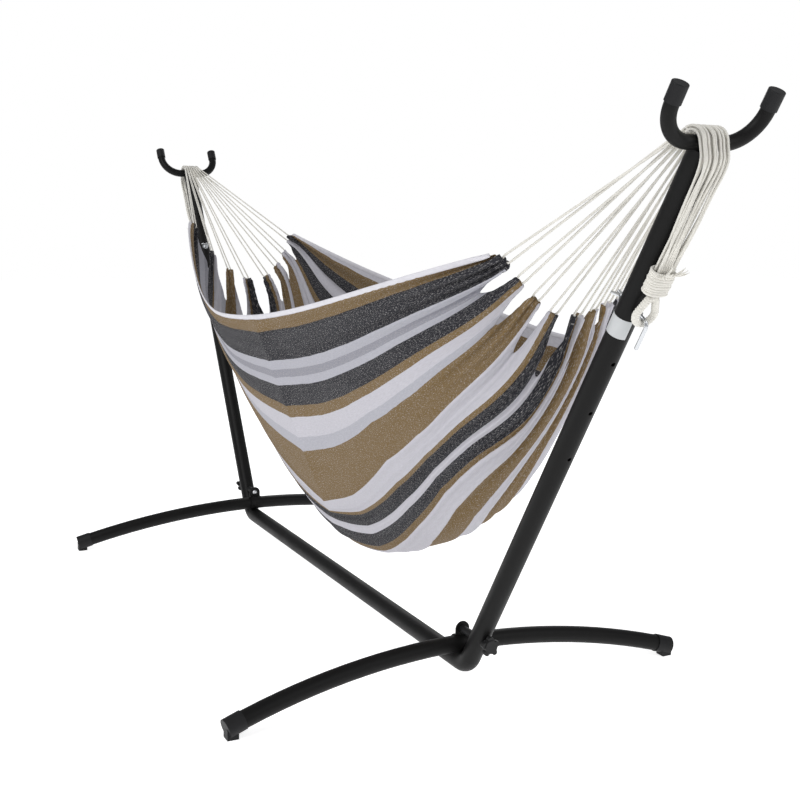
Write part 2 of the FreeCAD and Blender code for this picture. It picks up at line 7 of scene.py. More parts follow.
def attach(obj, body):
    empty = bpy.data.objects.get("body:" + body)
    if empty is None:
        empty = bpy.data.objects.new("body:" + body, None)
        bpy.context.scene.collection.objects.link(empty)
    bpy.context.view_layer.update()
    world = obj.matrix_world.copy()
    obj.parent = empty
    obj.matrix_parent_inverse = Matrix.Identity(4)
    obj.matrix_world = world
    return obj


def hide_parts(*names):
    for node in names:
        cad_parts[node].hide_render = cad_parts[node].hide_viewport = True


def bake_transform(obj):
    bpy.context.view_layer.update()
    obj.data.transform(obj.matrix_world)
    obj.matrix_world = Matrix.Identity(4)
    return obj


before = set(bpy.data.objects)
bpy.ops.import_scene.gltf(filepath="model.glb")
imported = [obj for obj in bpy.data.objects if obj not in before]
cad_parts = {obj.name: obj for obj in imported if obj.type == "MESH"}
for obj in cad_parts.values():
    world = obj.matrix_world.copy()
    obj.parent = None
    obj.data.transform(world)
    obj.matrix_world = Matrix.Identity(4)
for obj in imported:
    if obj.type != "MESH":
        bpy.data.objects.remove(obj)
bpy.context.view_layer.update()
rng = np.random.default_rng(7)

ENDS = ((1, "near"), (-1, "far"))

# ---- sizes and places, in metres ------------------------------------------------

# the near upright's axis: its slope, its own directions and where it starts
LEAN = math.radians(59.1)
UP = np.array([math.cos(LEAN), 0.0, math.sin(LEAN)])
OUT = np.array([math.sin(LEAN), 0.0, -math.cos(LEAN)])
ACROSS = np.array([0.0, 1.0, 0.0])
HUB = np.array([0.730, 0.0, 0.0655])

# places along that axis, and how far out from it
HORN_AT = 1.358
HOOK_AT = 1.030
HOOK_R = 0.004
BUNDLE_OUT = 0.039
EYE_OUT = 0.042

# the doubled strings from the horn to the cloth
STRING_D = 0.0046
STRING_LAY = 0.016
STRING_SWELL = 1.04
STRING_STEP = 0.0022
LOOPS = 8
STRING_PITCH = 0.007
STRING_ROOTS = (0.0115, 0.0040)
STRING_SPREAD = 0.009
STRING_REACH = 0.006
STRING_STRAIGHT = 0.028
FAN_X = 1.406
FAN_SLOPE = math.radians(36.0)
WRAP_R = 0.0223

# the same strings gathered over the horn: the outer layer, then the inner one
STRAND_SWELL = 1.05
STRAND_STEP = 0.0024
STRAND_START = 0.0026
STRAND_PITCH = (0.0076, 0.0060, 0.0046)
STRAND_STRAY = (0.0028, 0.0045, 0.0010)
STRAND_AT = (1.345, 1.285, 1.205, 1.150, 1.092)
LAYER_RADII = ((0.0285, 0.0258, 0.0250, 0.0262), (0.0225, 0.0195, 0.0182, 0.0200))
LAYER_OUT = (0.0046, -0.0042)
# corners of a polygon round the horn, as directions from its axis (x, z)
WRAP_WAYS = ((-0.282, 0.959), (0.387, 0.922), (0.883, 0.470), (0.940, -0.190))
# the corners stand this much wider, because the spline cuts them
WRAP_EASE = 1.06

# the whipping that binds them, the eye below it and the frayed tails
WHIP_LOW = 1.0845
WHIP_HIGH = 1.1345
WHIP_INSET = 0.002
WHIP_TURNS = 9
WHIP_WIDE = 0.0235
WHIP_THICK = 0.0135
WHIP_SQUARE = (0.75, 0.9)
WHIP_CORD_R = 0.0031
WHIP_LAY = 0.014
EYE_CORD_R = 0.006
EYE_FIT = 0.0003
EYE_LOW_R = 0.020
EYE_TOP_R = 0.009
EYE_TOP_AT = 1.0830
EYE_TURNS_R = 0.0074
EYE_TURN = 0.0048
TAILS = 9
TAIL_AT = 1.128
TAIL_OUT = 0.012
TAIL_SPREAD = 0.016
TAIL_RISE = 0.020
TAIL_R = 0.0019
TAIL_LAY = 0.012

# the cloth: laid flat, and its middle and half length when hung
FLAT_WIDE = 1.50
FLAT_LONG = 2.00
CLOTH_THIN = 0.0016
CLOTH_SHIFT = 0.080
CLOTH_HALF = 0.980
CLOTH_BELLY = 0.020

# heights of its front hem, back hem and lowest line
FRONT_LOW = 0.812
FRONT_LOW_AT = -0.3
FRONT_NEAR = 0.223
FRONT_FAR = 0.278
FRONT_POWERS = (1.7, 2)
BACK_LOW = 0.866
BACK_NEAR = (0.081, 5)
BACK_FAR = (0.154, 1.6)
BACK_DIP = 0.34
BED_LOW = 0.195
END_LOW_NEAR = 0.903
END_LOW_FAR = 0.850
BAG_NEAR = (0.75, 2.1, 6)
BAG_FAR = (0.55, 1.5, 8)

# its section: half width, how that narrows to each end, and how round it is
CLOTH_WIDE = 0.300
TAPER_NEAR = (0.150, 4)
TAPER_FAR = (0.105, 2)
DRIFT = 0.020
LEAN_FAR = 0.070
KEEL = 0.2
END_OPEN = 1.6
END_DEEP = 2.5
BACK_FULL = 0.9
BACK_ROUND = 4
LOOP_CROWD = 0.8
LOOP_RISE = 0.002

# its gathers: a tip at each loop, scallops between, pleats, ripples and a fold
SCALLOP = 0.062
SCALLOP_ROUND = 0.8
CORNER_CUT = 0.15
TIP_SHARE = 0.36
TIP_WIDE = 0.022
TIP_LONG = 0.028
TIP_OUT = 0.011
TIP_THICK = 0.0075
NARROW_OVER = 0.035
GATHER_OVER = 0.34
PLEAT_HIGH = 0.010
PLEAT_OVER = 0.22
PLEAT_START = 0.05
RIPPLE_HIGH = 0.0016
RIPPLE_MORE = 0.0045
RIPPLE_OVER = 0.20
RIPPLES = 16
RIPPLE_SHARE = 4.2
FOLD_AT = 0.05
FOLD_LONG = 0.07
FOLD_HIGH = 0.014
FOLD_FLATTEN = 0.7
EDGE_SHARE = 0.02
EDGE_CALM = 0.25
ROWS = 420
COLUMNS = 441
SECTION_POINTS = 801
SECTIONS = 200

# its hems
HEM_SIDES = 14
HEM_STEP = 0.004
HEM_IN = 0.004
HEM_HALF = 0.006
HEM_THICK = 0.0019
HEM_RIPPLE = 0.0004
HEM_COLUMNS = 5

# how far threads have slid to the front and crowded into the fold, far end to near end
SLIDE_AT = (-1.0, -0.5, 0.05, 0.25, 0.5, 0.65, 0.75, 1.0)
SLIDE = (0.0, 0.5, 0.75, 0.75, 0.95, 1.0, 0.9, 0.8)
SLIDE_MOST = 1.35
SLIDE_ALL = 0.02
CROWD_AT = (-1.0, -0.5, 0.05, 0.25, 0.5, 0.7, 0.9, 1.0)
CROWD = (0.0, 0.6, 1.1, 0.8, 0.35, 0.4, 0.2, 0.0)
CROWD_MOST = 0.07
CROWD_MIDDLE = 0.33
CROWD_WIDE = 0.10

# the camera: angles in degrees, lens in millimetres on a 36 mm sensor
CAMERA_PLACE = (2.9288, -1.3356, 1.1164)
CAMERA_ANGLES = (153.7265, -8.5733, 1.0425)
CAMERA_LENS = 51.9075
CAMERA_SENSOR = 36.0
CAMERA_SHIFT = (0.0295, -0.023625)

FLOOR_HALF = 14


def on_upright(along, out=0.0, across=0.0):
    return HUB + UP * along + OUT * out + ACROSS * across


HORN = on_upright(HORN_AT)
FAN_WAY = np.array([-math.cos(FAN_SLOPE), 0.0, -math.sin(FAN_SLOPE)])
LEAVE = HORN + np.array([-math.sin(FAN_SLOPE), 0.0, math.cos(FAN_SLOPE)]) * WRAP_R
ROOT = LEAVE + FAN_WAY * ((LEAVE[0] - FAN_X) / math.cos(FAN_SLOPE))


def at_end(points, end):
    """The near end's points, or the same turned half round for the far end."""
    points = np.asarray(points, float)
    return points if end > 0 else points * np.array([-1.0, -1.0, 1.0])


def unit(vector):
    return vector / np.linalg.norm(vector)


def lengths(vectors):
    """Each vector's length, as a column."""
    return np.linalg.norm(vectors, axis=1)[:, None]


def distances(line):
    """How far along the line each of its points lies."""
    return np.concatenate([[0], np.cumsum(np.linalg.norm(np.diff(line, axis=0), axis=1))])


def smooth(x):
    x = np.clip(x, 0.0, 1.0)
    return x * x * (3 - 2 * x)


# ---- camera -------------------------------------------------------------------

def placed(piece, place, side, top, ahead):
    """Link a camera or a lamp at a place, looking ahead."""
    bpy.context.scene.collection.objects.link(piece)
    pose = Matrix.Identity(4)
    for row in range(3):
        for column, axis in enumerate((side, top, -ahead)):
            pose[row][column] = axis[row]
        pose[row][3] = place[row]
    piece.matrix_world = pose


def make_camera():
    azimuth, elevation, roll = (math.radians(angle) for angle in CAMERA_ANGLES)
    ahead = np.array([math.cos(elevation) * math.cos(azimuth),
                      math.cos(elevation) * math.sin(azimuth),
                      math.sin(elevation)])
    level = unit(np.cross(ahead, [0, 0, 1]))
    above = np.cross(level, ahead)
    right = math.cos(roll) * level + math.sin(roll) * above
    top = -math.sin(roll) * level + math.cos(roll) * above
    camera = bpy.data.objects.new("camera", bpy.data.cameras.new("camera"))
    placed(camera, CAMERA_PLACE, right, top, ahead)
    camera.data.sensor_width = CAMERA_SENSOR
    camera.data.lens = CAMERA_LENS
    camera.data.shift_x, camera.data.shift_y = CAMERA_SHIFT
    bpy.context.scene.camera = camera


# ---- mesh helpers ---------------------------------------------------------------

def mesh_object(name, points, faces):
    mesh = bpy.data.meshes.new(name)
    mesh.from_pydata([tuple(p) for p in points], [], faces)
    mesh.update()
    mesh.polygons.foreach_set("use_smooth", [True] * len(mesh.polygons))
    piece = bpy.data.objects.new(name, mesh)
    bpy.context.scene.collection.objects.link(piece)
    return piece


def spline_points(controls, step):
    """Evenly spaced points along the NURBS spline with these control points."""
    curve = bpy.data.curves.new("route", "CURVE")
    curve.dimensions = "3D"
    curve.resolution_u = 32
    spline = curve.splines.new("NURBS")
    spline.points.add(len(controls) - 1)
    for point, place in zip(spline.points, controls):
        point.co = (*place, 1.0)
    spline.order_u = 3
    spline.use_endpoint_u = True
    holder = bpy.data.objects.new("route", curve)
    mesh = bpy.data.meshes.new_from_object(holder)
    line = np.array([v.co for v in mesh.vertices])
    bpy.data.objects.remove(holder)
    bpy.data.curves.remove(curve)
    bpy.data.meshes.remove(mesh)
    return even(line, step)


def even(line, step):
    """The same line with evenly spaced points, about a step apart."""
    gaps = np.linalg.norm(np.diff(line, axis=0), axis=1)
    line = line[np.concatenate([[True], gaps > 1e-7])]
    along = distances(line)
    count = max(int(round(along[-1] / step)), 2) + 1
    at = np.linspace(0, along[-1], count)
    return np.stack([np.interp(at, along, line[:, k]) for k in range(3)], axis=1)


def moving_frames(line, closed=False):
    """Tangents and two side directions that don't spin along the line."""
    if closed:
        following = np.roll(line, -1, axis=0)
        leading = np.roll(line, 1, axis=0)
    else:
        following = np.vstack([line[1:], 2 * line[-1] - line[-2]])
        leading = np.vstack([2 * line[0] - line[1], line[:-1]])
    tangents = following - leading
    tangents /= lengths(tangents)
    start = np.cross(tangents[0], [0.0, 1.0, 0.0])
    if np.linalg.norm(start) < 0.1:
        start = np.cross(tangents[0], [1.0, 0.0, 0.0])
    sides = [unit(start)]
    for tangent in tangents[1:]:
        side = sides[-1] - tangent * np.dot(sides[-1], tangent)
        sides.append(unit(side))
    sides = np.array(sides)
    return tangents, sides, np.cross(tangents, sides)


def ring_faces(count, sides, closed=False):
    """Faces between rings of points, with a cap on each end unless the last meets the first."""
    faces = []
    for ring in range(count if closed else count - 1):
        a = ring * sides
        b = ((ring + 1) % count) * sides
        for k in range(sides):
            m = (k + 1) % sides
            faces.append((a + k, a + m, b + m, b + k))
    if not closed:
        faces.append(tuple(range(sides))[::-1])
        faces.append(tuple(range((count - 1) * sides, count * sides)))
    return faces


def ply_swell(spin, along, plies, lay, phase):
    """Share of the radius on and between the plies of a twisted cord."""
    depth = 0.22
    wave = np.abs(np.cos(0.5 * plies * (spin - 2 * math.pi * along / lay) + phase))
    return 1 - depth + depth * wave ** 0.7 * 1.15


def rib_swell(along, rib):
    """Share of the radius on and between cord turns wound round a core."""
    return 0.78 + 0.22 * np.abs(np.sin(math.pi * along / rib)) ** 0.6


def tail_off(along):
    """Share of the radius down a frayed tail, which thins over its last part."""
    share = along / along[-1]
    return 1 - 0.75 * smooth((share - 0.6) / 0.4)


def tube_parts(line, radius, sides=12, plies=0, lay=0.02, phase=0.0, rib=0.0, closed=False, taper=False):
    """Points and faces of a tube; plies twist round it, ribs ring it."""
    _, side, other = moving_frames(line, closed)
    count = len(line)
    along = distances(line)[:, None]
    angles = np.linspace(0, 2 * math.pi, sides, endpoint=False)
    spin = angles[None, :] + np.zeros((count, 1))
    size = np.full((count, sides), radius, float)
    if plies:
        size *= ply_swell(spin, along, plies, lay, phase)
    if rib:
        size *= rib_swell(along, rib)
    if taper:
        size *= tail_off(along)
    away = np.cos(spin)[:, :, None] * side[:, None, :] + np.sin(spin)[:, :, None] * other[:, None, :]
    points = line[:, None, :] + size[:, :, None] * away
    return points.reshape(-1, 3), ring_faces(count, sides, closed)


def joined(name, parts):
    """One mesh from several lots of points and faces."""
    every_point, every_face, base = [], [], 0
    for points, faces in parts:
        every_point.append(points)
        every_face.extend(tuple(i + base for i in face) for face in faces)
        base += len(points)
    return mesh_object(name, np.vstack(every_point), every_face)


# ---- how the cloth hangs ---------------------------------------------------------

def bag(size, share, slow, fast):
    """Rise of the lowest line towards an end, from 0 to 1."""
    return share * size ** slow + (1 - share) * size ** fast


def trough(u):
    """Front hem, back hem and lowest height at u, -1 at the far end to 1 at the near."""
    u = np.asarray(u, float)
    size = np.abs(u)
    nearward = np.clip(u - FRONT_LOW_AT, 0, None) / (1 - FRONT_LOW_AT)
    farward = np.clip(FRONT_LOW_AT - u, 0, None) / (1 + FRONT_LOW_AT)
    front = (FRONT_LOW + FRONT_NEAR * nearward ** FRONT_POWERS[0]
             + FRONT_FAR * farward ** FRONT_POWERS[1])
    near = BACK_NEAR[0] * size ** BACK_NEAR[1] - BACK_DIP * size ** 2 * (1 - size)
    far = BACK_FAR[0] * size ** BACK_FAR[1]
    back = BACK_LOW + np.where(u > 0, near, far)
    end_low = np.where(u > 0, END_LOW_NEAR, END_LOW_FAR)
    rise = np.where(u > 0, bag(size, *BAG_NEAR), bag(size, *BAG_FAR))
    return front, back, BED_LOW + (end_low - BED_LOW) * rise


def climb(u, v):
    """How far up from the lowest line to the hem the cloth is at v, from 0 to 1."""
    vee = (np.hypot(v, KEEL) - KEEL) / (math.hypot(1, KEEL) - KEEL)
    power = np.where((u < 0) & (v < 0), END_DEEP, END_OPEN)
    share = vee * (1 - u ** 2) + np.abs(v) ** power * u ** 2
    full = np.where((u > 0) & (v > 0), BACK_FULL * 4 * u * (1 - u), 0.0)
    return share + (np.abs(v) ** BACK_ROUND - share) * full


def cloth_point(u, v):
    """v runs from the front hem (-1) to the back hem (1)."""
    u, v = np.broadcast_arrays(np.asarray(u, float), np.asarray(v, float))
    front, back, low = trough(u)
    height = low + (np.where(v < 0, front, back) - low) * climb(u, v)
    narrowing = np.where(u > 0, TAPER_NEAR[0] * u ** TAPER_NEAR[1], TAPER_FAR[0] * u ** TAPER_FAR[1])
    middle = np.where(u > 0, -DRIFT, DRIFT + LEAN_FAR * (1 - v ** 2)) * u ** 2
    reach = CLOTH_HALF + CLOTH_BELLY * (front - height) / (front - low)
    along = CLOTH_SHIFT + u * reach
    return np.stack([along, middle + v * (CLOTH_WIDE - narrowing), height], axis=-1)


def loop_v(index):
    v = 2.0 * (index + 0.5) / LOOPS - 1
    return math.copysign(abs(v) ** LOOP_CROWD, v)


def loop_place(end, index):
    return cloth_point(float(end), loop_v(index)) + np.array([0, 0, LOOP_RISE])


# ---- materials --------------------------------------------------------------------

# colours of each material, dark to pale
PAINT_TONES = ((0.004, 0.004, 0.0043), (0.008, 0.0078, 0.0076))
CAP_TONES = ((0.008, 0.008, 0.009), (0.014, 0.014, 0.015))
KNOB_TONES = ((0.012, 0.012, 0.012), (0.022, 0.022, 0.023))
ZINC_TONES = ((0.46, 0.48, 0.51), (0.72, 0.73, 0.74))
ROPE_TONES = ((0.56, 0.54, 0.49), (0.80, 0.78, 0.72))
ROPE_FUZZ = (0.85, 0.83, 0.78)
LABEL_TONES = ((0.44, 0.46, 0.47), (0.54, 0.55, 0.56))
HEM_TONES = ((0.56, 0.55, 0.59), (0.68, 0.67, 0.71))
FLOOR_TONES = ((0.86, 0.86, 0.86), (0.88, 0.88, 0.88))

# the middle part of a noise's values, which most spreads start from
MIDDLE = (0.3, 0.7)


class Nodes:
    """A short way to write a node tree."""

    def __init__(self, name):
        self.material = bpy.data.materials.new(name)
        self.material.use_nodes = True
        self.tree = self.material.node_tree
        self.tree.nodes.clear()
        self.out = self.tree.nodes.new("ShaderNodeOutputMaterial")
        self.shader = self.tree.nodes.new("ShaderNodeBsdfPrincipled")
        self.join(self.shader.outputs[0], self.out.inputs["Surface"])

    def join(self, source, target):
        self.tree.links.new(source, target)

    def fill(self, socket, value):
        if isinstance(value, bpy.types.NodeSocket):
            self.join(value, socket)
        elif isinstance(value, (tuple, list)) and len(value) == 3 and socket.type == "RGBA":
            socket.default_value = (*value, 1.0)
        else:
            socket.default_value = value

    def set(self, **values):
        for key, value in values.items():
            self.fill(self.shader.inputs[key.replace("_", " ")], value)

    def node(self, kind, settings=None, **inputs):
        made = self.tree.nodes.new("ShaderNode" + kind)
        for key, value in (settings or {}).items():
            setattr(made, key, value)
        for key, value in inputs.items():
            self.fill(made.inputs[key.replace("_", " ")], value)
        return made

    def noise(self, scale, detail=3.0, vector=None, stretch=None):
        vector = vector or self.node("TexCoord").outputs["Object"]
        if stretch:
            vector = self.node("Mapping", Vector=vector, Scale=stretch).outputs[0]
        return self.node("TexNoise", Vector=vector, Scale=scale, Detail=detail).outputs["Fac"]

    def spread(self, value, before, after):
        """The value moved from the range before to the range after."""
        made = self.node("MapRange", Value=value)
        for slot, number in zip(("From Min", "From Max", "To Min", "To Max"), before + after):
            made.inputs[slot].default_value = number
        return made.outputs[0]

    def mix(self, share, first, second):
        """A colour between two; a Mix node keeps its colour sockets at 6, 7 and output 2."""
        made = self.node("Mix", {"data_type": "RGBA"})
        self.fill(made.inputs[0], share)
        self.fill(made.inputs[6], first)
        self.fill(made.inputs[7], second)
        return made.outputs[2]

    def math(self, operation, first, second):
        made = self.node("Math", {"operation": operation})
        self.fill(made.inputs[0], first)
        self.fill(made.inputs[1], second)
        return made.outputs[0]

    def bump(self, height, strength, distance):
        made = self.node("Bump", Strength=strength, Distance=distance, Height=height)
        self.join(made.outputs[0], self.shader.inputs["Normal"])


def powder_coat():
    n = Nodes("powder_coat")
    cloud = n.noise(9.0, detail=4.0)
    grain = n.noise(900.0, detail=2.0)
    colour = n.mix(cloud, *PAINT_TONES)
    n.set(Base_Color=colour, Roughness=n.spread(cloud, MIDDLE, (0.40, 0.52)))
    n.bump(grain, strength=0.10, distance=0.0004)
    n.set(Specular_IOR_Level=0.14)
    return n.material


def moulded(name, tones, rough):
    n = Nodes(name)
    cloud = n.noise(40.0, detail=5.0)
    grain = n.noise(1400.0, detail=2.0)
    n.set(Base_Color=n.mix(cloud, *tones),
          Roughness=n.spread(cloud, MIDDLE, (rough - 0.06, rough + 0.06)))
    n.set(Specular_IOR_Level=0.2)
    n.bump(grain, strength=0.22, distance=0.0003)
    return n.material


def zinc():
    n = Nodes("zinc_plate")
    cloud = n.noise(60.0, detail=4.0)
    fine = n.noise(700.0, detail=3.0)
    n.set(Base_Color=n.mix(cloud, *ZINC_TONES), Metallic=1.0,
          Roughness=n.spread(fine, MIDDLE, (0.20, 0.38)))
    n.bump(fine, strength=0.08, distance=0.0003)
    return n.material


def cotton_rope():
    n = Nodes("cotton_rope")
    tone = n.noise(28.0, detail=4.0)
    fibre = n.noise(1500.0, detail=3.0)
    fuzz = n.noise(420.0, detail=3.0)
    colour = n.mix(tone, *ROPE_TONES)
    colour = n.mix(n.spread(fuzz, (0.35, 0.7), (0.0, 0.35)), colour, ROPE_FUZZ)
    n.set(Base_Color=colour, Roughness=0.88)
    n.set(Sheen_Weight=0.35)
    n.set(Sheen_Roughness=0.5)
    n.bump(n.math("ADD", fibre, fuzz), strength=0.7, distance=0.0006)
    return n.material


def label_film():
    n = Nodes("label_film")
    cloud = n.noise(30.0, detail=3.0)
    n.set(Base_Color=n.mix(cloud, *LABEL_TONES),
          Roughness=n.spread(cloud, MIDDLE, (0.25, 0.4)))
    n.bump(n.noise(220.0), strength=0.05, distance=0.0003)
    return n.material


# the cloth's colours, and where each stripe starts as a share of its width
WHITE = (0.56, 0.55, 0.60)
PALE = (0.44, 0.44, 0.49)
GREY = (0.29, 0.29, 0.33)
TAN = (0.185, 0.120, 0.050)
DARK = (0.018, 0.018, 0.023)

STRIPES = [
    (0.000, WHITE), (0.007, TAN), (0.030, DARK), (0.088, PALE), (0.107, GREY), (0.125, PALE),
    (0.139, DARK), (0.178, TAN), (0.197, WHITE), (0.227, PALE), (0.250, TAN), (0.334, WHITE),
    (0.420, TAN), (0.441, DARK), (0.489, WHITE), (0.516, DARK), (0.556, TAN), (0.577, WHITE),
    (0.635, TAN), (0.692, WHITE), (0.735, TAN), (0.795, WHITE), (0.860, TAN), (0.881, DARK),
    (0.915, WHITE), (0.945, DARK), (0.961, TAN), (0.985, WHITE),
]


FLECK = (0.60, 0.58, 0.57)
SHADE = (0.02, 0.02, 0.025)
BLOOM = (0.78, 0.78, 0.80)
STRIPE_WANDER = 0.0016


def stripe_colour(n, at):
    """The stripes' colours across the cloth, with edges that wander a little."""
    across = n.node("SeparateXYZ", Vector=at).outputs["Y"]
    wander = n.noise(60.0, detail=2.0, vector=at, stretch=(0.2, 1.0, 1.0))
    weft = n.math("ADD", n.math("MULTIPLY", across, 1 / FLAT_WIDE),
                  n.spread(wander, (0.0, 1.0), (-STRIPE_WANDER, STRIPE_WANDER)))
    ramp = n.node("ValToRGB", Fac=weft)
    ramp.color_ramp.interpolation = "CONSTANT"
    stops = ramp.color_ramp.elements
    for start, colour in STRIPES[2:]:
        stops.new(start)
    for stop, (start, colour) in zip(stops, STRIPES):
        stop.position = start
        stop.color = (*colour, 1.0)
    return ramp.outputs["Color"]


def threads(n, at, direction, scale, distortion):
    return n.node("TexWave", {"wave_type": "BANDS", "bands_direction": direction}, Vector=at,
                  Scale=scale, Distortion=distortion, Detail=2.0).outputs["Fac"]


def striped_cotton():
    n = Nodes("striped_cotton")
    at = n.node("Attribute", {"attribute_name": "weave_at"}).outputs["Vector"]
    slub = n.noise(230.0, vector=at, stretch=(0.35, 1.6, 1.0))
    fleck = n.noise(330.0, detail=2.0, vector=at, stretch=(0.6, 1.5, 1.0))
    broad = n.noise(14.0, vector=at, stretch=(0.5, 1.5, 1.0))
    colour = n.mix(n.spread(fleck, (0.56, 0.68), (0.0, 0.55)), stripe_colour(n, at), FLECK)
    colour = n.mix(n.spread(slub, MIDDLE, (0.0, 0.25)), colour, n.mix(0.6, colour, SHADE))
    colour = n.mix(n.spread(broad, (0.35, 0.75), (0.0, 0.02)), colour, BLOOM)
    n.set(Base_Color=colour, Roughness=0.9, Sheen_Weight=0.04, Specular_IOR_Level=0.15)
    weave = n.math("ADD", threads(n, at, "Y", 210.0, 1.2), threads(n, at, "X", 150.0, 1.5))
    n.bump(n.math("ADD", weave, slub), strength=0.45, distance=0.0006)
    return n.material


def white_hem():
    n = Nodes("white_hem")
    tone = n.noise(45.0, detail=3.0)
    fine = n.noise(900.0, detail=3.0, stretch=(0.6, 2.0, 2.0))
    n.set(Base_Color=n.mix(tone, *HEM_TONES), Roughness=0.92)
    n.set(Sheen_Weight=0.25)
    n.bump(fine, strength=0.5, distance=0.0005)
    return n.material


PAINT = powder_coat()
CAP = moulded("cap_plastic", CAP_TONES, 0.50)
KNOB = moulded("knob_plastic", KNOB_TONES, 0.42)
ZINC = zinc()
ROPE = cotton_rope()
LABEL = label_film()
CLOTH = striped_cotton()
HEM = white_hem()

FINISH = {
    "centre_beam": PAINT, "upright": PAINT, "horn_tube": PAINT, "base_leg": PAINT, "clamp_strap": PAINT,
    "horn_caps": CAP, "leg_end_caps": CAP, "clamp_sleeve": CAP, "clamp_washer": CAP, "star_knob": KNOB,
    "knob_insert": ZINC, "clamp_bolt": ZINC, "hook_bolt": ZINC, "hook_nut": ZINC, "hook_washers": ZINC,
    "wing_nut": ZINC, "blank_label": LABEL, "rope_bundle": ROPE, "rope_whipping": ROPE, "rope_eye": ROPE,
    "suspension_strings": ROPE, "hammock_cloth": CLOTH,
}


def paint_the_stand():
    for name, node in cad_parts.items():
        kind = name.replace("_near", "").replace("_far", "")
        node.data.materials.clear()
        node.data.materials.append(FINISH[kind])


def finished(piece, material, slot, body, *nodes):
    """Give a piece its material, the body it rides and the nodes it replaces; slot is not used."""
    piece.data.materials.append(material)
    if body:
        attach(piece, body)
    if nodes:
        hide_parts(*nodes)
    return piece


# ---- suspension strings --------------------------------------------------------

def from_middle(index):
    """How many loops a string is from the middle of the row."""
    return index - (LOOPS - 1) / 2


def string_controls(end, index):
    """Down to the loop, through it and back, for the near end's frame."""
    places = [loop_place(end, k) for k in range(LOOPS)]
    after, before = places[min(index + 1, LOOPS - 1)], places[max(index - 1, 0)]
    place = at_end(places[index], end)
    aside = at_end(unit(after - before) * STRING_SPREAD, end)
    base = ROOT + ACROSS * from_middle(index) * end * STRING_PITCH
    turn = place + unit(base - place) * STRING_REACH
    high, low = (base + np.array([0, 0, rise]) for rise in STRING_ROOTS)
    near_high = turn + aside + unit(high - turn - aside) * STRING_STRAIGHT
    near_low = turn - aside + unit(low - turn + aside) * STRING_STRAIGHT
    return [high, near_high, turn + aside, turn - aside, near_low, low]


def suspension_string(end, word, index):
    controls = at_end(string_controls(end, index), end)
    line = spline_points(controls, STRING_STEP)
    points, faces = tube_parts(line, STRING_D / 2 * STRING_SWELL, sides=10, plies=3, lay=STRING_LAY,
                               phase=rng.uniform(0, 3))
    string = mesh_object(f"string_{word}_{index + 1}", points, faces)
    nodes = (f"suspension_strings_{word}",) if index == 0 else ()
    finished(string, ROPE, "rope", None, *nodes)
    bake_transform(string)


# ---- gathered strings over the horn ----------------------------------------------

def strand_controls(index, layer, jitter):
    """One strand, from where a string meets the horn down into the whipping."""
    side = from_middle(index)
    y_horn, y_mid, y_neck = (side * pitch + stray * share
                             for pitch, stray, share in zip(STRAND_PITCH, STRAND_STRAY, jitter))
    rise = STRAND_START * math.tan(FAN_SLOPE) + STRING_ROOTS[layer]
    points = [ROOT + np.array([STRAND_START, 0, rise]) + ACROSS * side * STRING_PITCH]
    for (dx, dz), radius in zip(WRAP_WAYS, LAYER_RADII[layer]):
        points.append(HORN + np.array([dx, 0, dz]) * radius * WRAP_EASE + ACROSS * y_horn)
    outs = (0.002, 0.004 * jitter[0], 0.003 * jitter[1], 0, 0)
    sides = (y_horn * 0.95, y_mid + 0.002 * jitter[2], y_mid * 0.9, y_neck, y_neck)
    for along, out, across in zip(STRAND_AT, outs, sides):
        points.append(on_upright(along, BUNDLE_OUT + LAYER_OUT[layer] + out, across))
    return points


def gathered_strands(end, word):
    parts = []
    for layer in range(2):
        for index in range(LOOPS):
            controls = at_end(strand_controls(index, layer, rng.uniform(-1, 1, 3)), end)
            parts.append(tube_parts(spline_points(controls, STRAND_STEP), STRING_D / 2 * STRAND_SWELL,
                                    sides=10, plies=3, lay=STRING_LAY, phase=rng.uniform(0, 3)))
    finished(joined(f"gathered_strands_{word}", parts), ROPE, "rope", "frame", f"rope_bundle_{word}")


def squared(wave, power):
    """A sine or cosine pushed towards -1 and 1, so a circle of them is squarer."""
    return np.sign(wave) * np.abs(wave) ** power


def whipping_turns(end, word):
    angle = np.linspace(0, 2 * math.pi * WHIP_TURNS, WHIP_TURNS * 48)
    along = WHIP_LOW + WHIP_INSET + (WHIP_HIGH - WHIP_LOW - 2 * WHIP_INSET) * angle / angle[-1]
    wobble = 1 + 0.03 * np.sin(angle * 0.37 + 1.0)
    across = WHIP_WIDE * squared(np.cos(angle), WHIP_SQUARE[0]) * wobble
    out = BUNDLE_OUT + WHIP_THICK * squared(np.sin(angle), WHIP_SQUARE[1]) * wobble
    coil = np.array([on_upright(*place) for place in zip(along, out, across)])
    parts = [tube_parts(even(at_end(coil, end), 0.002), WHIP_CORD_R, sides=10, plies=3, lay=WHIP_LAY)]
    finished(joined(f"whipping_turns_{word}", parts), ROPE, "rope", "frame", f"rope_whipping_{word}")


def arc(centre, radius, first, last, count):
    """Places on an arc in the eye's plane, centred at a distance along the upright."""
    return [on_upright(centre + radius * math.sin(a), EYE_OUT, radius * math.cos(a))
            for a in np.linspace(first, last, count)]


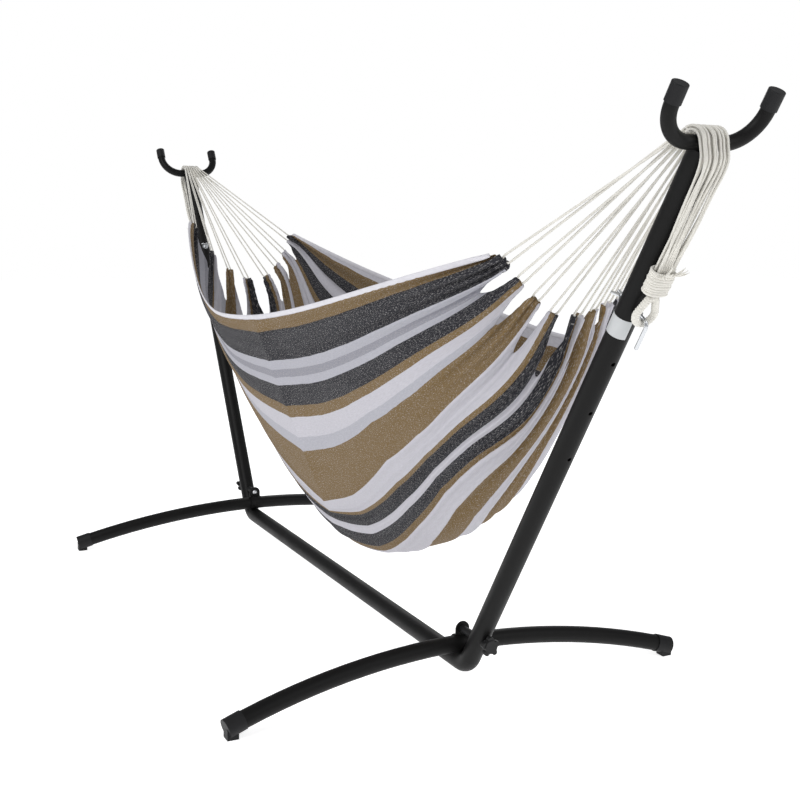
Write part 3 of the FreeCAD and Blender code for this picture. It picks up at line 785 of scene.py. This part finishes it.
def whipped_eye(end, word):
    """A pear-shaped ring that hangs on the hook bolt, wide below and narrow above."""
    low_centre = HOOK_AT - HOOK_R - EYE_CORD_R - EYE_FIT + EYE_LOW_R
    high_centre = EYE_TOP_AT - EYE_CORD_R - EYE_TOP_R
    tilt = math.asin((EYE_LOW_R - EYE_TOP_R) / (high_centre - low_centre))
    outline = arc(low_centre, EYE_LOW_R, tilt, tilt - math.pi - 2 * tilt, 40)
    outline += arc(high_centre, EYE_TOP_R, math.pi - tilt, tilt, 24)
    ring = even(np.array(outline + [outline[0]]), 0.0009)[:-1]
    parts = [tube_parts(at_end(ring, end), EYE_TURNS_R, sides=20, rib=EYE_TURN, closed=True)]
    finished(joined(f"whipped_eye_{word}", parts), ROPE, "rope", "frame", f"rope_eye_{word}")


def frayed_tails(end, word):
    parts = []
    for _ in range(TAILS):
        turn = rng.uniform(-1, 1, 4)
        foot = on_upright(TAIL_AT, BUNDLE_OUT + TAIL_OUT, TAIL_SPREAD * turn[0])
        tip = (foot + OUT * TAIL_OUT * (1 + turn[1]) + UP * (TAIL_RISE + 0.016 * turn[2])
               + ACROSS * TAIL_SPREAD * turn[0])
        middle = (foot + tip) / 2 + OUT * 0.006 + UP * 0.004 * turn[3]
        line = spline_points(at_end([foot, middle, tip], end), 0.002)
        parts.append(tube_parts(line, TAIL_R, sides=8, plies=3, lay=TAIL_LAY, taper=True))
    finished(joined(f"frayed_tails_{word}", parts), ROPE, "rope", "frame")


# ---- cloth ----------------------------------------------------------------------

sections = {}


def section(u):
    """The cloth's section nearest to u: shares of the way round, v at each, and its length."""
    key = round(float(u) * SECTIONS) / SECTIONS
    if key not in sections:
        v = np.linspace(-1, 1, SECTION_POINTS)
        along = distances(cloth_point(key, v))
        sections[key] = (along / along[-1], v, along[-1])
    return sections[key]


def v_at(u, share):
    """v of the thread that lies this share of the way round the section at u."""
    shares, v, _ = section(u)
    return np.interp(share, shares, v)


def end_edge(end, share):
    """How the threads gather at one end of the cloth."""
    shares, v, _ = section(end)
    # the loops' places, and each thread's loop
    centres = np.array([np.interp(loop_v(k), v, shares) for k in range(LOOPS)])
    index = np.clip((share * LOOPS).astype(int), 0, LOOPS - 1)
    # where the thread lies in that loop's gather, -1 to 1, and the gather's room
    off = 2 * (share * LOOPS - index) - 1
    edges = np.concatenate([[0.0], (centres[1:] + centres[:-1]) / 2, [1.0]])
    width = np.where(off < 0, centres[index] - edges[index], edges[index + 1] - centres[index])
    # how far back the edge is cut between the tips
    recede = SCALLOP * smooth((np.abs(off) - TIP_SHARE) / (1.0 - TIP_SHARE)) ** SCALLOP_ROUND
    recede[(off < 0) & (index == 0)] *= CORNER_CUT
    recede[(off > 0) & (index == LOOPS - 1)] *= CORNER_CUT
    return centres, index, off, width, recede


def hanging(u, share):
    """Where a thread lies round the section at u, as a share of the way from hem to hem."""
    forward = SLIDE_MOST * share ** 3 * (1 - share) + SLIDE_ALL * np.sin(math.pi * share)
    crowded = CROWD_MOST * np.exp(-((share - CROWD_MIDDLE) / CROWD_WIDE) ** 2)
    slide = np.interp(u, SLIDE_AT, SLIDE)
    crowd = np.interp(u, CROWD_AT, CROWD)
    return share - slide * forward + crowd * crowded


def outward(u, v):
    """The smooth surface's outward direction."""
    step = 0.01
    aside = cloth_point(u, np.clip(v + step, -1, 1)) - cloth_point(u, np.clip(v - step, -1, 1))
    aside /= lengths(aside) + 1e-12
    onward = cloth_point(np.clip(u + step, -1, 1), v) - cloth_point(np.clip(u - step, -1, 1), v)
    onward /= lengths(onward) + 1e-12
    return np.cross(aside, onward)


def pleats(u, share, off, from_end, waves):
    """Height above the smooth surface of the pleats, the ripples and the fold."""
    # deep pleats by the loops, soft long ones down the bed
    deep = PLEAT_HIGH * np.exp(-from_end / PLEAT_OVER) * smooth(from_end / PLEAT_START)
    shallow = RIPPLE_HIGH + RIPPLE_MORE * np.exp(-from_end / RIPPLE_OVER)
    height = deep * np.cos(math.pi * off)
    for rate, phase, drift in waves:
        wave = np.sin(2 * math.pi * rate * share + phase + drift * 3 * u)
        height = height + shallow / RIPPLE_SHARE * wave
    # a fold across the front of the bed, where it has lain doubled
    crease = np.exp(-np.abs(u - FOLD_AT) / FOLD_LONG) * smooth((0.55 - share) / 0.2)
    height = height * (1 - FOLD_FLATTEN * crease) + FOLD_HIGH * crease
    calm = EDGE_CALM + (1 - EDGE_CALM) * smooth(np.minimum(share, 1 - share) / EDGE_SHARE)
    return height * calm


def cloth_row(u0, share, ends, waves):
    """One row of the cloth's points from hem to hem, and how much each belongs to a tip."""
    near_share = (1 + u0) / 2
    # each thread runs from its own end edge to the other
    far_in = ends[-1][4] / CLOTH_HALF
    near_in = ends[1][4] / CLOTH_HALF
    u = u0 + far_in * (1 - near_share) - near_in * near_share
    end = 1 if u0 > 0 else -1
    centres, index, off, width, _ = ends[end]
    from_end = (1 - np.abs(u)) * CLOTH_HALF
    # each tip is TIP_WIDE across, whatever its share of the section
    blunt = TIP_WIDE / 2 / TIP_SHARE / section(end)[2]
    gathered = centres[index] + off * (width + (blunt - width) * np.exp(-from_end / NARROW_OVER))
    hang = hanging(u, share)
    pull = smooth(1 - from_end / GATHER_OVER) ** 2
    lateral = hang + (gathered - hang) * pull
    v = np.array([v_at(*place) for place in zip(u, lateral)])
    point = cloth_point(u, v) + outward(u, v) * pleats(u, share, off, from_end, waves)[:, None]
    # the tips reach out to cover the string in each loop
    tip = (1 - smooth(from_end / TIP_LONG)) * (np.abs(off) < TIP_SHARE * 1.4)
    way = at_end(ROOT, end)[None, :] - point
    return point + way / lengths(way) * (TIP_OUT * tip)[:, None], tip


def cloth_grid():
    """Rows of points from the far end to the near, columns from the front hem to the back."""
    share = np.linspace(0, 1, COLUMNS)
    level = np.linspace(-1, 1, ROWS)
    # rows lie closer together near the ends
    level = np.sin(level * math.pi / 2) * 0.35 + level * 0.65
    ends = {end: end_edge(end, share) for end in (-1, 1)}
    waves = [(rng.uniform(5, 46), rng.uniform(0, 6.28), rng.uniform(-0.5, 0.5)) for _ in range(RIPPLES)]
    rows = [cloth_row(u0, share, ends, waves) for u0 in level]
    return share, level, np.array([point for point, _ in rows]), np.array([tip for _, tip in rows])


def striped_bed(share, level, grid, tips):
    faces = [(a, a + 1, a + COLUMNS + 1, a + COLUMNS)
             for row in range(ROWS - 1) for a in range(row * COLUMNS, (row + 1) * COLUMNS - 1)]
    bed = mesh_object("striped_bed", grid.reshape(-1, 3), faces)
    # where each point lies on the flat cloth, which the stripes follow
    weave = bed.data.attributes.new("weave_at", "FLOAT_VECTOR", "POINT")
    warp = np.repeat((level + 1) / 2 * FLAT_LONG, COLUMNS)
    weft = np.tile(share * FLAT_WIDE, ROWS)
    weave.data.foreach_set("vector", np.stack([warp, weft, warp * 0], axis=1).astype(np.float32).ravel())
    group = bed.vertex_groups.new(name="tips")
    for number in np.nonzero(tips.ravel() > 0.01)[0]:
        group.add([int(number)], float(tips.ravel()[number]), "REPLACE")
    solid = bed.modifiers.new("thickness", "SOLIDIFY")
    solid.thickness = TIP_THICK
    solid.offset = 0.0
    solid.vertex_group = "tips"
    solid.thickness_vertex_group = CLOTH_THIN / TIP_THICK
    return finished(bed, CLOTH, "cloth", "hammock", "hammock_cloth")


def hem(word, edge, inside):
    """A flat band over one edge of the cloth; inside is a line a little way in from the edge."""
    line = even(edge, HEM_STEP)
    inner = even(inside, HEM_STEP)
    shares = np.linspace(0, 1, len(line))
    inner_shares = np.linspace(0, 1, len(inner))
    inner = np.stack([np.interp(shares, inner_shares, inner[:, k]) for k in range(3)], axis=1)
    inward = (inner - line) / lengths(inner - line)
    normal = np.cross(moving_frames(line)[0], inward)
    normal /= lengths(normal)
    angles = np.linspace(0, 2 * math.pi, HEM_SIDES, endpoint=False)
    thick = HEM_THICK + HEM_RIPPLE * np.sin(np.arange(len(line)) * 0.9)
    points = [place + into * (HEM_IN + HEM_HALF * math.cos(a)) + out * (half * math.sin(a))
              for place, into, out, half in zip(line, inward, normal, thick) for a in angles]
    piece = mesh_object(f"hem_{word}", points, ring_faces(len(line), HEM_SIDES))
    return finished(piece, HEM, "cloth", "hammock")


# ---- floor and light --------------------------------------------------------------

def make_floor():
    far = FLOOR_HALF
    corners = [(-far, -far, 0), (far, -far, 0), (far, far, 0), (-far, far, 0)]
    floor = mesh_object("floor", corners, [(0, 1, 2, 3)])
    n = Nodes("floor_paper")
    n.set(Base_Color=n.mix(n.noise(1.5), *FLOOR_TONES), Roughness=0.9,
          Emission_Color=(1.0, 1.0, 1.0), Emission_Strength=0.72)
    floor.data.materials.append(n.material)


def make_sky():
    """Soft pale light all round, and pure white where the camera sees the sky."""
    world = bpy.data.worlds.new("studio")
    bpy.context.scene.world = world
    world.use_nodes = True
    sky = world.node_tree
    backdrop = sky.nodes["Background"]
    backdrop.inputs[0].default_value = (1.0, 1.0, 1.0, 1.0)
    backdrop.inputs[1].default_value = 1.0
    soft = sky.nodes.new("ShaderNodeBackground")
    soft.inputs[0].default_value = (0.97, 0.98, 1.0, 1.0)
    soft.inputs[1].default_value = 0.38
    seen = sky.nodes.new("ShaderNodeLightPath")
    either = sky.nodes.new("ShaderNodeMixShader")
    sky.links.new(seen.outputs["Is Camera Ray"], either.inputs[0])
    sky.links.new(soft.outputs[0], either.inputs[1])
    sky.links.new(backdrop.outputs[0], either.inputs[2])
    sky.links.new(either.outputs[0], sky.nodes["World Output"].inputs[0])


def area_light(name, place, aim, size, power):
    light = bpy.data.lights.new(name, "AREA")
    light.energy = power
    light.size = size
    ray = unit(np.array(aim) - np.array(place))
    side = unit(np.cross(ray, [0, 0, 1]))
    placed(bpy.data.objects.new(name, light), place, side, np.cross(side, ray), ray)


# ---- everything in order ------------------------------------------------------------

make_camera()
paint_the_stand()
for end, word in ENDS:
    for index in range(LOOPS):
        suspension_string(end, word, index)
for end, word in ENDS:
    gathered_strands(end, word)
    whipping_turns(end, word)
    whipped_eye(end, word)
    frayed_tails(end, word)

share, level, grid, tips = cloth_grid()
bed = striped_bed(share, level, grid, tips)
hems = [hem("front", grid[:, 0], grid[:, HEM_COLUMNS]),
        hem("back", grid[:, -1], grid[:, -1 - HEM_COLUMNS])]

make_floor()
make_sky()
area_light("key", place=(1.2, -3.2, 3.6), aim=(0.2, 0.0, 0.6), size=2.6, power=95.0)
area_light("fill", place=(3.6, 1.6, 2.6), aim=(0.4, 0.0, 0.6), size=2.4, power=35.0)
area_light("back", place=(-3.2, 2.2, 3.0), aim=(0.0, 0.0, 0.7), size=2.4, power=45.0)
bpy.context.scene.view_settings.view_transform = "Standard"
